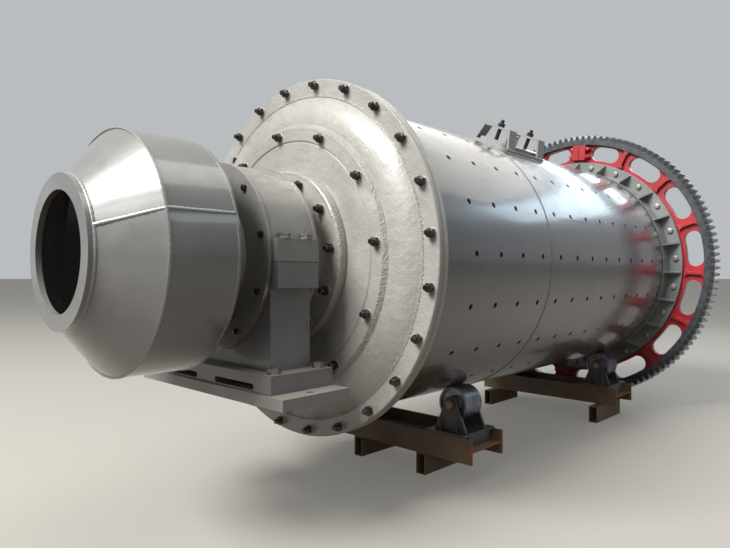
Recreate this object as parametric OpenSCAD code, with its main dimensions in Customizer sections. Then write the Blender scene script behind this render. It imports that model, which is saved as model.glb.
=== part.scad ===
// Ball mill with a drum feeder, as it stands on two roller stands in the workshop.
// The mill axis runs along X. The feed end is at -X and the gear end at +X.
// Stations along the axis are counted from the outer face of the feed head flange.

/* [Shell] */
// Inside diameter of the shell
shell_bore = 1500; // [1440:10:1560]
// Thickness of the shell plate
shell_plate = 16; // [12:1:20]
// Length of the shell over its two flanges
shell_len = 3000; // [2800:10:3300]
// Number of rows of holes in the first rolled course, which ends at its weld
front_course_holes = 4; // [3:1:5]
// Thickness of the front shell flange
front_flange_t = 30; // [24:1:40]
// Thickness of the rear shell flange
rear_flange_t = 34; // [24:1:40]
// Outer diameter of the front flanges
front_flange_d = 1700; // [1680:10:1760]
// Outer diameter of the rear flanges
rear_flange_d = 1724; // [1700:10:1740]
// Thickness of the band that doubles the shell at the rear flange
band_t = 7; // [4:1:10]
// Length of that band and of the gussets on it
band_len = 130; // [110:5:150]
// Height of the gussets at the flange
gusset_h = 82; // [70:1:84]
// Thickness of each gusset
gusset_t = 12; // [8:1:16]
// Angle of the first gusset from the +Y side
gusset_angle = 4.5; // [0:0.5:10]
// Number of bolts and of gussets round a flange
flange_bolts = 24; // [20:2:28]
// Length of the cone behind the front flange
hub_len = 45; // [30:5:60]
// Height of that cone at the flange
hub_h = 34; // [24:1:50]
// Chamfer at the rims of the flanges where two of them meet
joint_chamfer = 7; // [4:1:10]

/* [Liner bolt holes] */
// Number of rows of holes round the shell
hole_rows = 20; // [16:4:20]
// Number of holes in a row
holes_in_row = 13; // [11:1:13]
// Spacing of the holes along a row
hole_pitch = 204.7; // [195:0.1:205]
// Distance from the shell's front end to the first hole
first_hole = 357; // [330:1:380]
// Diameter of a hole
hole_d = 28; // [20:1:32]
// Angle of the first row from the +Y side
first_row_angle = -1; // [-4:0.5:4]

/* [Manhole] */
// Distance from the shell's front end to the manhole's middle
manhole_at = 1385; // [1360:1:1410]
// Length of the frame along the shell
manhole_len = 490; // [470:2:500]
// Width of the frame round the shell
manhole_w = 276; // [260:2:290]
// Width of the frame's rim
manhole_rim = 40; // [34:1:46]
// Lap of the cover on that rim
cover_lap = 8; // [6:1:10]
// Thickness of the frame and of the cover
manhole_t = 18; // [14:1:24]
// Angle of the manhole from the +Y side
manhole_angle = 115; // [113:0.5:117]
// Height of the clamping bridges over the frame
bridge_h = 94; // [85:1:110]
// Width of the bridges' flat bar
bridge_w = 78; // [60:1:90]
// Length of a bridge's top
bridge_top = 186; // [160:2:210]
// Thickness of that bar
bridge_t = 12; // [10:1:16]
// Distance between the two bridges
bridge_gap = 344; // [330:2:360]

/* [Heads] */
// Thickness of a head's flange
head_flange_t = 30; // [24:1:40]
// Diameter of the cast bulge where it leaves the flange
bulge_d = 1536; // [1520:4:1560]
// Diameter of the raised face inside the bulge
face_d = 1228; // [1200:2:1260]
// Height of the raised face over the flange
face_h = 68; // [60:1:80]
// Height of the step at the rim of the raised face
step_h = 18; // [12:1:24]
// Width of that step, which is sloped
step_w = 16; // [8:1:24]
// Wall of the casting
head_wall = 48; // [40:1:56]
// Distance from the rim of the raised face to its shallow groove
groove_inset = 65; // [55:1:90]
// Width and depth of that groove
groove_w = 5; // [3:1:8]
// Diameter of the jacking hole through the feed head's flange
jack_hole_d = 42; // [24:1:48]
// Diameter of the raised ring round that hole
jack_ring_d = 66; // [56:1:72]
// Diameter of the circle that the jacking hole lies on
jack_circle_d = 1492; // [1480:2:1600]
// Height of the raised ring over the flange
jack_ring_h = 16; // [12:1:24]
// Angle of that hole from the +Y side
jack_angle = 46; // [40:0.5:52]

/* [Trunnions] */
// Diameter of the trunnion flange
trunnion_flange_d = 818; // [780:2:850]
// Thickness of the trunnion flange
trunnion_flange_t = 44; // [36:1:50]
// Rounding of the trunnion flange's rim
trunnion_flange_round = 14; // [8:1:18]
// Diameter of the journal in the bearing
journal_d = 500; // [470:5:520]
// Diameter of the neck behind the bearing
neck_d = 560; // [540:5:600]
// Diameter of the passage through the trunnion
passage_d = 400; // [360:5:420]

/* [Bearings] */
// Distance from the head flange to the middle of the bearing
bearing_at = 351; // [340:1:370]
// Width of the housing without its covers
housing_w = 222; // [200:2:230]
// Outer diameter of the housing
housing_d = 786; // [760:2:810]
// Outer diameter of the covers
cover_d = 796; // [780:2:812]
// Thickness of a cover
cover_t = 14; // [10:1:18]
// Height of the split below the axis
split_drop = 28; // [10:1:40]
// Half distance between the outer faces of the lugs
lug_y = 425; // [415:1:440]
// Distance from a face of the housing to the side of a lug
lug_inset = 8; // [4:1:14]
// Height of the lug on the cap
cap_lug_h = 90; // [70:1:100]
// Height of the lug on the pedestal
base_lug_h = 104; // [90:1:120]
// Half width of the pedestal's column
column_y = 376; // [370:1:385]
// Distance from a face of the housing to the front of the pedestal's column
column_inset = 11; // [8:1:20]
// Height of the axis over the pedestal's foot
foot_drop = 457; // [430:1:470]
// Thickness of the foot
foot_t = 74; // [60:1:90]
// Half length of the foot
foot_y = 451; // [440:1:465]
// Width of the foot
foot_w = 312; // [290:2:330]
// Height of the slots in the foot
slot_h = 24; // [16:1:30]
// Distance from the middle to a slot's inner end
slot_from = 70; // [50:5:100]
// Distance from the middle to a slot's outer end
slot_to = 342; // [320:1:360]
// Distance from the foot's underside to its slots
slot_rise = 8; // [6:1:16]
// Thickness of the sole plate
sole_t = 45; // [35:1:55]
// Half length of the sole plate
sole_y = 540; // [530:1:560]
// Width of the sole plate
sole_w = 338; // [320:1:360]
// Diameter of the anchor holes in the sole plate
anchor_d = 30; // [24:1:34]
// Running clearance round the journal
run_gap = 0.3; // [0.2:0.05:0.4]

/* [Drum feeder] */
// Outer diameter of the feeder's drum
feeder_d = 928; // [900:2:960]
// Length of the feeder's drum
feeder_len = 272; // [240:2:300]
// Length of the feeder's cone
feeder_cone_len = 162; // [140:2:180]
// Plate of the feeder
feeder_plate = 10; // [8:1:12]
// Outer diameter of the mouth ring
mouth_d = 560; // [540:2:600]
// Diameter of the mouth
mouth_bore = 442; // [420:2:460]
// Thickness of the mouth ring
mouth_t = 22; // [14:1:28]
// Gap between the bearing's cover and the feeder's back plate
feeder_gap = 168; // [150:2:190]
// Thickness of the ring that bolts the feeder to the trunnion
feeder_flange_t = 18; // [14:1:24]
// Diameter of that ring
feeder_flange_d = 620; // [600:2:640]

/* [Outlet] */
// Length of the outlet beyond the bearing's cover
outlet_len = 190; // [160:2:220]
// Diameter of the outlet's end ring
outlet_d = 600; // [560:2:640]

/* [Ring gear] */
// Number of teeth
gear_teeth = 134; // [126:2:140]
// Module of the teeth
gear_module = 16; // [15.8:0.1:16.5]
// Width of the toothed rim
gear_face = 120; // [100:2:130]
// Depth of the rim under the teeth
gear_rim = 42; // [36:1:50]
// Thickness of the web
gear_web_t = 40; // [30:1:44]
// Number of windows in the web
gear_windows = 16; // [12:2:16]
// Radial height of a window
window_h = 117; // [100:1:120]
// Web left between the windows and the rim
window_edge = 8; // [6:1:20]
// Length of a window along its arc
window_len = 268; // [240:2:276]
// Angle by which the windows beside the joint are shorter
joint_trim = 2.4; // [0:0.1:3]
// Thickness of the ribs on the spokes
rib_t = 20; // [14:1:24]
// Thickness of a rib at its flared ends
rib_end = 50; // [40:1:56]
// Length over which a rib flares
rib_flare = 30; // [20:1:36]
// Height of the ribs over the web
rib_h = 30; // [20:1:32]
// Half width of the two joint lugs together
lug_half = 55; // [50:1:70]
// Half width of the slot between the two lugs
lug_split = 2; // [1:0.5:4]
// Height of the joint lugs over the web
lug_h = 50; // [40:1:60]
// Angle of the joint between the gear's halves
gear_joint_angle = 94.2; // [85:0.1:100]

/* [Roller stands] */
// Diameter of a roller
roller_d = 180; // [160:2:200]
// Width of a roller
roller_w = 143; // [120:1:150]
// Angle of a roller from the plumb line under the axis
roller_angle = 27; // [25:0.5:30]
// Clearance between a roller and the shell
roller_gap = 0.3; // [0.2:0.05:0.5]
// Height of a roller's axle over the beam
axle_rise = 147; // [140:1:160]
// Distance from the shell's front end to the front stand
front_stand_at = 773; // [750:1:800]
// Distance from the rear stand to the shell's rear end
rear_stand_back = 362; // [330:1:380]
// Depth of the stand's I-section
beam_w = 300; // [280:2:320]
// Width of its flanges, which stand upright
beam_h = 126; // [116:1:130]
// Thickness of its flanges
beam_flange_t = 14; // [10:1:16]
// Thickness of its web
beam_web_t = 9; // [8:1:12]
// Length of a beam
beam_len = 1114; // [1100:2:1300]
// Diameter of a roller's axle
axle_d = 50; // [40:1:60]
// Thickness of the brackets' cheeks
cheek_t = 14; // [10:1:18]
// Length of a bracket's base along the beam
bracket_len = 240; // [220:2:250]
// Distance from the end of that base to the foot of a cheek
cheek_inset = 20; // [10:1:30]
// Plate of the bracket's base
bracket_plate = 12; // [8:1:14]
// Distance from the axle to the ribs outside a cheek
cheek_rib_y = 50; // [40:1:60]
// Height of those ribs
cheek_rib_h = 76; // [60:1:90]
// Height of the blocks under a beam
block_h = 114; // [100:1:130]
// Width of a block
block_w = 60; // [50:1:80]
// Wall of a block
block_wall = 6; // [5:1:8]
// Distance between the front stand's two blocks
front_block_spacing = 470; // [460:2:520]
// Distance between the rear stand's two blocks
rear_block_spacing = 880; // [860:2:900]
// Length by which the rear blocks stick out from under their beam
rear_block_reach = 130; // [100:5:150]

/* [Hidden] */

paint = [0.55, 0.55, 0.53];
pale_paint = [0.72, 0.71, 0.68];
gear_red = [0.75, 0.12, 0.14];
dark_steel = [0.22, 0.22, 0.23];
rust = [0.42, 0.28, 0.2];

big_fn = 96;
small_fn = 32;

shell_r = shell_bore / 2 + shell_plate;
front_flange_r = front_flange_d / 2;
rear_flange_r = rear_flange_d / 2;
journal_r = journal_d / 2;
neck_r = neck_d / 2;
passage_r = passage_d / 2;
housing_r = housing_d / 2;
lug_w = housing_w - 2 * lug_inset;
column_w = housing_w - 2 * column_inset;

// Stations along the axis
shell_start = head_flange_t;
shell_end = shell_start + shell_len;
rear_flange_start = shell_end - rear_flange_t;
course_joint = shell_start + first_hole + (front_course_holes - 0.5) * hole_pitch;
web_end = shell_end + gear_web_t;
far_head_face = web_end + head_flange_t;
cover_face = bearing_at + housing_w / 2 + cover_t;
trunnion_end = cover_face + feeder_gap / 2;
feeder_back_at = cover_face + feeder_gap;
feeder_drum_end = feeder_back_at + feeder_len;
feeder_cone_end = feeder_drum_end + feeder_cone_len;
feed_tip = feeder_cone_end + mouth_t;
outlet_tip = far_head_face + cover_face + outlet_len;
mid_station = (outlet_tip - feed_tip) / 2;

// Gear sizes
pitch_r = gear_module * gear_teeth / 2;
tip_r = pitch_r + gear_module;
root_r = pitch_r - 1.25 * gear_module;
rim_r = root_r - gear_rim;
window_out_r = rim_r - window_edge;
window_r = window_out_r - window_h / 2;
window_in_r = window_out_r - window_h;
gear_inner_r = shell_r + 8;
rim_start = shell_end + gear_web_t / 2 - gear_face / 2;
lug_in_r = window_in_r - 2;
lug_out_r = rim_r - 4;

// Roller stand sizes
roller_r = roller_d / 2;
roller_dist = shell_r + roller_gap + roller_r;
roller_y = roller_dist * sin(roller_angle);
front_stand_s = shell_start + front_stand_at;
rear_stand_s = shell_end - rear_stand_back;
beam_bottom = block_h;
beam_top = beam_bottom + beam_h;
plate_top = beam_top + bracket_plate;
roller_z = beam_top + axle_rise;

// Height of the mill axis over the floor, as the rollers hold it
axis_h = roller_z + roller_dist * cos(roller_angle);
web_top = beam_bottom + beam_h / 2 + beam_web_t / 2;
axle_r = axle_d / 2;
cheek_gap = 8;
cheek_x = roller_w / 2 + cheek_gap;
cheek_out = cheek_x + cheek_t;
cheek_crown = axle_r + 18;

// Places the axis frame: x is the station, y and z are across the axis.
module on_axis() {
    translate([-mid_station, 0, axis_h]) children();
}

// Turns a profile of [station, radius] points about the mill axis.
module turned(profile) {
    on_axis() rotate([0, 90, 0]) rotate_extrude($fn = big_fn)
        polygon([for (p = profile) [p[1], p[0]]]);
}

// A plain ring round the mill axis.
module ring(s0, s1, inner, outer) {
    turned([[s0, inner], [s1, inner], [s1, outer], [s0, outer]]);
}

// Places a child at an angle round the axis. Its y is the radius and its z runs round the shell.
module at_angle(angle, station) {
    on_axis() translate([station, 0, 0]) rotate([angle, 0, 0]) children();
}

// Puts the children at the discharge end, as the mirror image of the feed end.
module far_end() {
    translate([far_head_face - 2 * mid_station, 0, 0]) mirror([1, 0, 0]) children();
}

function arc_points(cx, cy, r, a0, a1, n) =
    [for (i = [0 : n]) let (a = a0 + (a1 - a0) * i / n) [cx + r * cos(a), cy + r * sin(a)]];

// Drum feeder

module feeder_mouth_ring() {
    color(pale_paint) ring(-feed_tip, -feeder_cone_end, mouth_bore / 2, mouth_d / 2);
}

module feeder_cone() {
    color(paint) turned([
        [-feeder_cone_end, mouth_d / 2 - feeder_plate - 4],
        [-feeder_cone_end, mouth_d / 2 - 4],
        [-feeder_drum_end, feeder_d / 2],
        [-feeder_drum_end, feeder_d / 2 - feeder_plate]]);
}

module feeder_drum() {
    color(paint) ring(-feeder_drum_end, -feeder_back_at - feeder_plate,
        feeder_d / 2 - feeder_plate, feeder_d / 2);
}

module feeder_back() {
    neck_out = passage_r + feeder_plate;
    color(paint) turned([
        [-feeder_back_at - feeder_plate, passage_r],
        [-trunnion_end, passage_r],
        [-trunnion_end, feeder_flange_d / 2],
        [-trunnion_end - feeder_flange_t, feeder_flange_d / 2],
        [-trunnion_end - feeder_flange_t, neck_out],
        [-feeder_back_at, neck_out],
        [-feeder_back_at, feeder_d / 2],
        [-feeder_back_at - feeder_plate, feeder_d / 2]]);
}

// Trunnion casting with its bolted flange, neck and journal
module trunnion() {
    face = face_h;
    flange_face = face + trunnion_flange_t;
    rounding = trunnion_flange_round;
    neck_fillet = 34;
    journal_end = bearing_at - housing_w / 2 - cover_t - 10;
    color(pale_paint) turned(concat(
        [[-face, passage_r], [-face, trunnion_flange_d / 2 - 4], [-face - 4, trunnion_flange_d / 2]],
        arc_points(-flange_face + rounding, trunnion_flange_d / 2 - rounding, rounding, 90, 180, 4),
        arc_points(-flange_face - neck_fillet, neck_r + neck_fillet, neck_fillet, 0, -90, 6),
        [[-journal_end, neck_r], [-journal_end, journal_r], [-trunnion_end + 16, journal_r],
            [-trunnion_end + 16, feeder_flange_d / 2], [-trunnion_end, feeder_flange_d / 2],
            [-trunnion_end, passage_r]]));
}

module feed_trunnion() { trunnion(); }
module discharge_trunnion() { far_end() trunnion(); }

// Cast head: flange, bulge, raised face with its groove, and the bore for the trunnion
module head(flange_r) {
    bulge_r = bulge_d / 2;
    face_r = face_d / 2;
    step_r = face_r + step_w;
    bulge_top = face_h - step_h;
    bulge_rings = 8;
    groove_r = face_r - groove_inset;
    outer = concat(
        [[0, flange_r - 4]],
        [for (i = [bulge_rings : -1 : 0]) let (u = i / bulge_rings)
            [-bulge_top * (1 - u * u), step_r + (bulge_r - step_r) * u]],
        [[-face_h + 4, face_r + 2], [-face_h, face_r - 3],
            [-face_h, groove_r + groove_w], [-face_h + groove_w, groove_r],
            [-face_h, groove_r - groove_w], [-face_h, passage_r]]);
    inner = [[-face_h + head_wall, passage_r], [-face_h + head_wall, face_r - 20],
        [head_flange_t - 6, bulge_r - head_wall], [head_flange_t, bulge_r - head_wall],
        [head_flange_t, flange_r - joint_chamfer], [head_flange_t - joint_chamfer, flange_r],
        [4, flange_r]];
    color(pale_paint) turned(concat(outer, inner));
}

// Places a cylinder through the feed head's flange, where the jacking hole is
module at_jack_hole(d, from, length) {
    at_angle(jack_angle, from) translate([0, jack_circle_d / 2, 0]) rotate([0, 90, 0])
        cylinder(d = d, h = length, $fn = small_fn);
}

// Feed head with its jacking hole, which has a raised ring round it
module feed_head() {
    color(pale_paint) difference() {
        union() {
            head(front_flange_r);
            at_jack_hole(jack_ring_d, -jack_ring_h, jack_ring_h + 2);
        }
        at_jack_hole(jack_hole_d, -jack_ring_h - 1, jack_ring_h + head_flange_t + 2);
    }
}
module discharge_head() { far_end() head(rear_flange_r); }

// Shell: two rolled courses, a weld neck flange in front and a gusseted one behind

module shell_front_flange() {
    s0 = shell_start;
    s1 = s0 + front_flange_t;
    color(paint) turned([
        [s0, shell_r], [s0, front_flange_r - joint_chamfer], [s0 + joint_chamfer, front_flange_r],
        [s1 - 3, front_flange_r],
        [s1, front_flange_r - 3], [s1, shell_r + hub_h], [s1 + hub_len, shell_r + 3],
        [s1 + hub_len, shell_r]]);
}

// Holes for the liner bolts whose stations lie between two limits
module liner_holes(s0, s1) {
    covered = asin((manhole_w / 2 + hole_d) / shell_r);
    for (row = [0 : hole_rows - 1]) for (i = [0 : holes_in_row - 1]) {
        station = shell_start + first_hole + i * hole_pitch;
        angle = first_row_angle + row * 360 / hole_rows;
        under_manhole = abs(angle - manhole_angle) < covered
            && abs(station - shell_start - manhole_at) < manhole_len / 2 + hole_d;
        if (station > s0 && station < s1 && !under_manhole)
            at_angle(angle, station) translate([0, shell_r - shell_plate / 2, 0])
                rotate([90, 0, 0]) cylinder(d = hole_d, h = shell_plate * 3, center = true, $fn = small_fn);
    }
}

module shell_front_course() {
    color(paint) difference() {
        ring(shell_start, course_joint, shell_bore / 2, shell_r);
        liner_holes(shell_start, course_joint - hole_d);
    }
}

module shell_rear_course() {
    color(paint) difference() {
        ring(course_joint, shell_end, shell_bore / 2, shell_r);
        liner_holes(course_joint + hole_d, rear_flange_start - hole_d);
        manhole_block(manhole_len - 2 * manhole_rim, manhole_w - 2 * manhole_rim, 40);
    }
}

module shell_rear_flange() {
    color(paint) {
        turned([
            [rear_flange_start - band_len, shell_r], [rear_flange_start - band_len, shell_r + band_t],
            [rear_flange_start, shell_r + band_t], [rear_flange_start, rear_flange_r - 3],
            [rear_flange_start + 3, rear_flange_r], [shell_end, rear_flange_r], [shell_end, shell_r]]);
        for (i = [0 : flange_bolts - 1])
            at_angle(gusset_angle + i * 360 / flange_bolts, rear_flange_start)
                translate([0, 0, -gusset_t / 2]) linear_extrude(gusset_t)
                    polygon([[1, shell_r + 1], [1, shell_r + band_t + gusset_h],
                        [-10, shell_r + band_t + gusset_h], [-band_len + 2, shell_r + band_t + 8],
                        [-band_len + 2, shell_r + 1]]);
    }
}

// Manhole

// A rounded block over the manhole, for cutting and for shaping the frame and cover
module manhole_block(length, width, corner) {
    at_angle(manhole_angle, shell_start + manhole_at) rotate([-90, 0, 0]) translate([0, 0, shell_r - 80])
        linear_extrude(200) union() {
            square([length, width - 2 * corner], center = true);
            square([length - 2 * corner, width], center = true);
            for (x = [-1, 1]) for (y = [-1, 1])
                translate([x * (length / 2 - corner), y * (width / 2 - corner)])
                    circle(r = corner, $fn = small_fn);
        }
}

module manhole_plate(inner, outer, length, width, corner) {
    s0 = shell_start + manhole_at - length / 2 - 5;
    intersection() {
        ring(s0, s0 + length + 10, inner, outer);
        manhole_block(length, width, corner);
    }
}

module manhole_frame() {
    color(paint) difference() {
        manhole_plate(shell_r, shell_r + manhole_t, manhole_len, manhole_w, 50);
        manhole_block(manhole_len - 2 * manhole_rim, manhole_w - 2 * manhole_rim, 40);
    }
}

module manhole_cover() {
    top = shell_r + 2 * manhole_t;
    smaller = 2 * (manhole_rim - cover_lap);
    color(paint) {
        manhole_plate(shell_r + manhole_t, top, manhole_len - smaller, manhole_w - smaller, 45);
        at_angle(manhole_angle, shell_start + manhole_at) {
            for (x = [-50, 50])
                translate([x, top - 4, 0]) rotate([-90, 0, 0]) cylinder(d = 14, h = 52, $fn = small_fn);
            translate([-57, top + 48, 0]) rotate([0, 90, 0]) cylinder(d = 14, h = 114, $fn = small_fn);
        }
    }
}

// Portals of flat bar with splayed legs, which span the cover and stand on the frame
module manhole_bridges() {
    seat_r = shell_r + manhole_t;
    foot_out = manhole_w / 2 - 2;
    foot_low = sqrt(pow(seat_r, 2) - pow(foot_out, 2)) - 20;
    top = seat_r + bridge_h;
    lean = (foot_out - bridge_top / 2) / (top - foot_low);
    slant = bridge_t * sqrt(1 + lean * lean);
    under = top - bridge_t;
    under_half = bridge_top / 2 + lean * bridge_t - slant;
    color(paint) for (side = [-1, 1])
        at_angle(manhole_angle, shell_start + manhole_at + side * bridge_gap / 2 - bridge_w / 2)
            difference() {
                rotate([90, 0, 90]) linear_extrude(bridge_w)
                    polygon([[foot_low, -foot_out], [top, -bridge_top / 2], [top, bridge_top / 2],
                        [foot_low, foot_out], [foot_low, foot_out - slant], [under, under_half],
                        [under, -under_half], [foot_low, slant - foot_out]]);
                translate([-1, 0, 0]) rotate([0, 90, 0])
                    cylinder(r = seat_r, h = bridge_w + 2, $fn = big_fn);
            }
}

// Ring gear

// One tooth: two flank points a side, so that the flank bulges as an involute does
function tooth(i) =
    let (pitch = 360 / gear_teeth, mid = i * pitch,
        root_a = pitch * 0.36, flank_a = pitch * 0.25, tip_a = pitch * 0.12)
    [for (p = [[root_r, -root_a], [pitch_r, -flank_a], [tip_r, -tip_a],
        [tip_r, tip_a], [pitch_r, flank_a], [root_r, root_a]])
        [p[0] * cos(mid + p[1]), p[0] * sin(mid + p[1])]];

module gear_outline() {
    polygon([for (i = [0 : gear_teeth - 1]) for (p = tooth(i)) p]);
}

// A window with round ends that follows the web's arc, between the angles of its ends' centres
module window(low, high) {
    end_r = window_h / 2;
    low_x = window_r * cos(low);
    low_y = window_r * sin(low);
    high_x = window_r * cos(high);
    high_y = window_r * sin(high);
    polygon(concat(
        arc_points(0, 0, window_out_r, low, high, 6),
        [for (i = [1 : 11]) arc_points(high_x, high_y, end_r, high, high + 180, 12)[i]],
        arc_points(0, 0, window_in_r, high, low, 6),
        [for (i = [1 : 11]) arc_points(low_x, low_y, end_r, low + 180, low + 360, 12)[i]]));
}

// All the windows, those beside the joints a little shorter
module windows() {
    half = (window_len - window_h) / 2 / window_r * 180 / PI;
    in_half = gear_windows / 2;
    for (i = [0 : gear_windows - 1])
        rotate((i + 0.5) * 360 / gear_windows)
            window(i % in_half == 0 ? joint_trim - half : -half,
                i % in_half == in_half - 1 ? half - joint_trim : half);
}

// The outline of a rib along a spoke, flared at both ends
module rib() {
    from = window_in_r - 12;
    to = rim_r + 2;
    polygon([[from, -rib_end / 2], [from + rib_flare, -rib_t / 2], [to - rib_flare, -rib_t / 2],
        [to, -rib_end / 2], [to, rib_end / 2], [to - rib_flare, rib_t / 2],
        [from + rib_flare, rib_t / 2], [from, rib_end / 2]]);
}

// The gear's plane, drawn with angle 0 along +Y and turned so that a tooth gap lies on the joint
module gear_plane(s) {
    on_axis() translate([s, 0, 0]) rotate([gear_joint_angle, 0, 0]) rotate([90, 0, 90]) children();
}

// Half of the plane on one side of the joint
module half_plane(side) {
    reach = tip_r + 50;
    translate([-reach, side > 0 ? 0 : -reach]) square([2 * reach, reach]);
}

module gear_half(side) {
    web_start = shell_end;
    color(gear_red) {
        gear_plane(rim_start) linear_extrude(gear_face) intersection() {
            difference() {
                rotate(180 / gear_teeth) gear_outline();
                circle(r = rim_r, $fn = big_fn);
            }
            half_plane(side);
        }
        gear_plane(web_start) linear_extrude(gear_web_t) intersection() {
            difference() {
                circle(r = rim_r + 2, $fn = big_fn);
                circle(r = gear_inner_r, $fn = big_fn);
                windows();
            }
            half_plane(side);
        }
        for (i = [1 : gear_windows / 2 - 1])
            gear_plane(web_start - rib_h) rotate(side * i * 360 / gear_windows)
                linear_extrude(rib_h + 1) rib();
        for (a = [0, 180])
            gear_plane(web_start - lug_h) rotate(a)
                translate([lug_in_r, side * (a == 0 ? 1 : -1) > 0 ? lug_split : -lug_half])
                    cube([lug_out_r - lug_in_r, lug_half - lug_split, lug_h + 1]);
    }
}

module ring_gear_near_half() { gear_half(1); }
module ring_gear_far_half() { gear_half(-1); }

// Discharge outlet
module discharge_outlet() {
    inner = passage_r;
    s0 = trunnion_end;
    s1 = cover_face + outlet_len;
    color(paint) far_end() turned([
        [-s0, inner], [-s0, feeder_flange_d / 2], [-s0 - feeder_flange_t, feeder_flange_d / 2],
        [-s0 - feeder_flange_t, inner + 16], [-s1 + 16, inner + 16], [-s1 + 16, outlet_d / 2],
        [-s1, outlet_d / 2], [-s1, inner]]);
}

// Bearings

// Centre of a bearing with the axis height at z 0
module at_bearing() {
    translate([-mid_station - bearing_at, 0, axis_h]) children();
}

// Cylinder along x, centred on the bearing
module bearing_barrel(r, w) {
    rotate([0, 90, 0]) cylinder(r = r, h = w, center = true, $fn = big_fn);
}

module bearing_cap() {
    reach = housing_r + 60;
    color(paint) at_bearing() difference() {
        union() {
            intersection() {
                bearing_barrel(housing_r, housing_w);
                translate([-housing_w, -reach, -split_drop]) cube([2 * housing_w, 2 * reach, reach * 2]);
            }
            translate([-lug_w / 2, -lug_y, -split_drop]) cube([lug_w, 2 * lug_y, cap_lug_h]);
        }
        bearing_barrel(journal_r + run_gap, housing_w + 2);
    }
}

module pedestal() {
    reach = housing_r + 60;
    color(paint) at_bearing() difference() {
        union() {
            intersection() {
                bearing_barrel(housing_r, housing_w);
                translate([-housing_w, -reach, -split_drop - reach]) cube([2 * housing_w, 2 * reach, reach]);
            }
            translate([-lug_w / 2, -lug_y, -split_drop - base_lug_h]) cube([lug_w, 2 * lug_y, base_lug_h]);
            translate([-column_w / 2, -column_y, -foot_drop])
                cube([column_w, 2 * column_y, foot_drop - split_drop - base_lug_h + 1]);
            translate([-foot_w / 2, -foot_y, -foot_drop - foot_t]) cube([foot_w, 2 * foot_y, foot_t]);
        }
        bearing_barrel(journal_r + run_gap, housing_w + 2);
        for (side = [-1, 1])
            translate([0, side * (slot_from + slot_to) / 2, -foot_drop - foot_t + slot_rise + slot_h / 2])
                rotate([0, 90, 0]) linear_extrude(foot_w + 2, center = true) {
                    square([slot_h, slot_to - slot_from - slot_h], center = true);
                    for (end = [-1, 1])
                        translate([0, end * (slot_to - slot_from - slot_h) / 2])
                            circle(d = slot_h, $fn = small_fn);
                }
    }
}

module bearing_cover(outward) {
    s = bearing_at + outward * (housing_w / 2 + cover_t / 2);
    color(paint) ring(-s - cover_t / 2, -s + cover_t / 2, journal_r + run_gap, cover_d / 2);
}

module sole_plate() {
    z0 = axis_h - foot_drop - foot_t - sole_t;
    hole_y = (foot_y + sole_y) / 2;
    color(paint) difference() {
        translate([-mid_station - bearing_at - sole_w / 2, -sole_y, z0]) cube([sole_w, 2 * sole_y, sole_t]);
        for (side = [-1, 1])
            translate([-mid_station - bearing_at, side * hole_y, z0 - 1])
                cylinder(d = anchor_d, h = sole_t + 2, $fn = small_fn);
    }
}

module feed_pedestal() { pedestal(); }
module feed_bearing_cap() { bearing_cap(); }
module feed_outer_cover() { bearing_cover(1); }
module feed_inner_cover() { bearing_cover(-1); }
module feed_sole_plate() { sole_plate(); }
module discharge_pedestal() { far_end() pedestal(); }
module discharge_bearing_cap() { far_end() bearing_cap(); }
module discharge_outer_cover() { far_end() bearing_cover(1); }
module discharge_inner_cover() { far_end() bearing_cover(-1); }
module discharge_sole_plate() { far_end() sole_plate(); }

// Roller stands

module at_stand(s) {
    translate([s - mid_station, 0, 0]) children();
}

// I-section on its side: the web is level and the flanges stand upright
module beam(s) {
    color(rust) at_stand(s) rotate([90, 0, 0]) linear_extrude(beam_len, center = true) {
        for (side = [-1, 1])
            translate([side * (beam_w - beam_flange_t) / 2, beam_bottom + beam_h / 2])
                square([beam_flange_t, beam_h], center = true);
        translate([0, beam_bottom + beam_h / 2]) square([beam_w - beam_flange_t, beam_web_t], center = true);
    }
}

// Two lengths of square tube under a beam, which may stick out at the feed side
module blocks(s, spacing, reach) {
    color(rust) at_stand(s) for (side = [-1, 1])
        translate([-beam_w / 2 - reach, side * spacing / 2, 0]) rotate([90, 0, 90])
            linear_extrude(beam_w + reach) difference() {
                translate([-block_w / 2, 0]) square([block_w, block_h]);
                translate([-block_w / 2 + block_wall, block_wall])
                    square([block_w - 2 * block_wall, block_h - 2 * block_wall]);
            }
}

// A cheek's outline in y and z, with its crown round the axle
module cheek_outline() {
    rise = roller_z - plate_top;
    half = bracket_len / 2 - cheek_inset;
    reach = sqrt(pow(half, 2) + pow(rise, 2));
    flank_r = cheek_crown - 2;
    touch = 180 - atan2(rise, half) - acos(flank_r / reach);
    polygon([[-half, 0], [half, 0], [flank_r * cos(touch), rise + flank_r * sin(touch)],
        [-flank_r * cos(touch), rise + flank_r * sin(touch)]]);
    translate([0, rise]) circle(r = cheek_crown, $fn = 48);
}

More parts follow.
